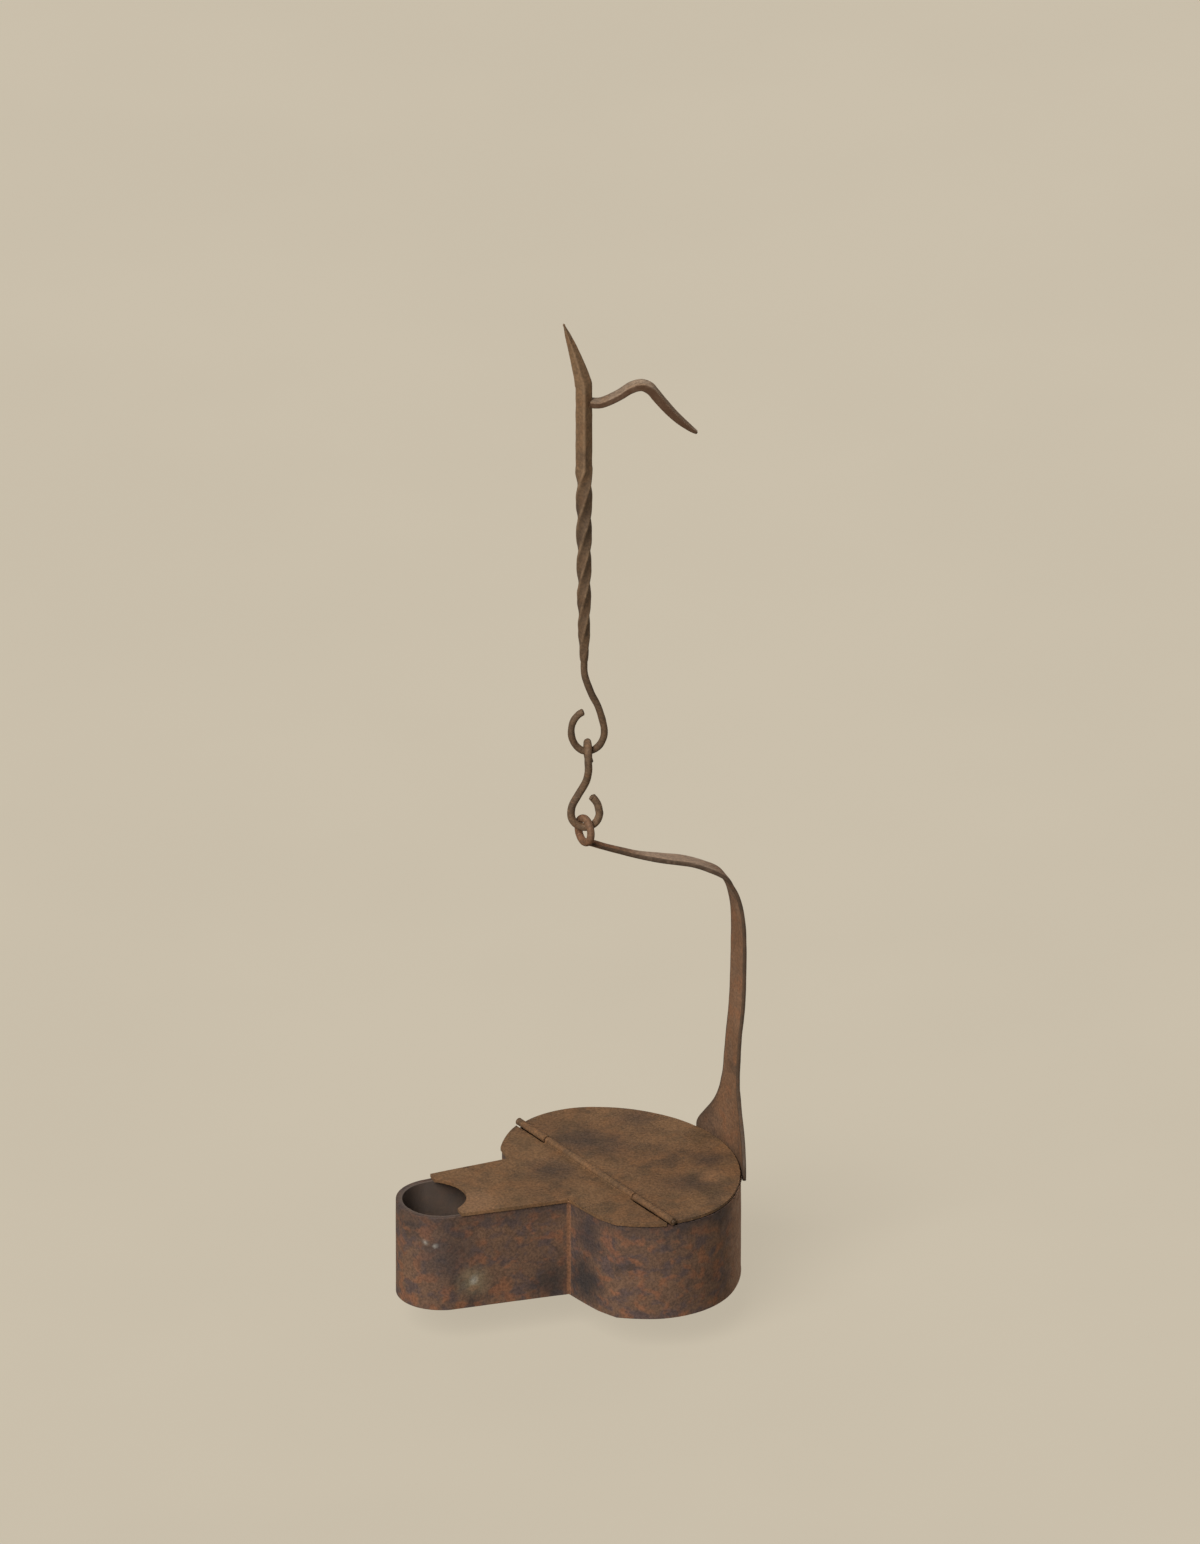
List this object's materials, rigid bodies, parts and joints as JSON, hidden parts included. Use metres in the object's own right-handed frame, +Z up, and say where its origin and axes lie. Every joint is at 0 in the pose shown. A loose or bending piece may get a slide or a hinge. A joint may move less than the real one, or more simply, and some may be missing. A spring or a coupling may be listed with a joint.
{
  "type": "betty lamp",
  "caption": "Hanging grease lamp of wrought iron: covered oval font with an open spout and hinged lid, strap handle with an eye, S-link and twisted hanger with spike and side arm.",
  "frame": {"origin": "tip of the hanger's spike, which holds the lamp up", "axes": "+Z up along the hanger, the spout points to -X and the handle stands at +X"},
  "size_m": [0.1081, 0.0818, 0.3111],
  "materials": {
    "forged_bar": "dull brown rust on a forged bar",
    "forged_wire": "dull brown rust, rubbed at the hooks",
    "forged_strap": "dull brown rust on a forged strap",
    "wall_iron": "mottled orange and dark rust",
    "plate_iron": "tan brown rust with dark patches",
    "sooty_iron": "black soot and grey crust"
  },
  "bodies": {
    "hanger": {"hanger_bar": "forged_bar", "side_arm": "forged_bar"},
    "link": {"link": "forged_wire"},
    "lamp": {"handle": "forged_strap", "handle_rivets": "forged_strap", "drum_wall": "wall_iron", "spout_wall": "wall_iron", "floor_plate": "wall_iron", "front_cover": "plate_iron", "hinge_pin": "forged_wire", "wick_support": "sooty_iron", "wick_support_rivet": "sooty_iron"},
    "lid": {"lid": "plate_iron"}
  },
  "joints": [
    {"name": "link_swing", "type": "hinge", "parent": "hanger", "child": "link", "pos_m": [0.00683, -0.00196, -0.1402], "axis": [0.9613, -0.2756, 0], "range_deg": [-35, 35]},
    {"name": "lamp_swing", "type": "hinge", "parent": "link", "child": "lamp", "pos_m": [0.0061, -0.00175, -0.16255], "axis": [-0.1736, 0.9848, 0], "range_deg": [-25, 25]},
    {"name": "lid_hinge", "type": "hinge", "parent": "lamp", "child": "lid", "pos_m": [0.00793, -0.00175, -0.2786], "axis": [0.2588, -0.9659, 0], "range_deg": [0, 165]}
  ]
}
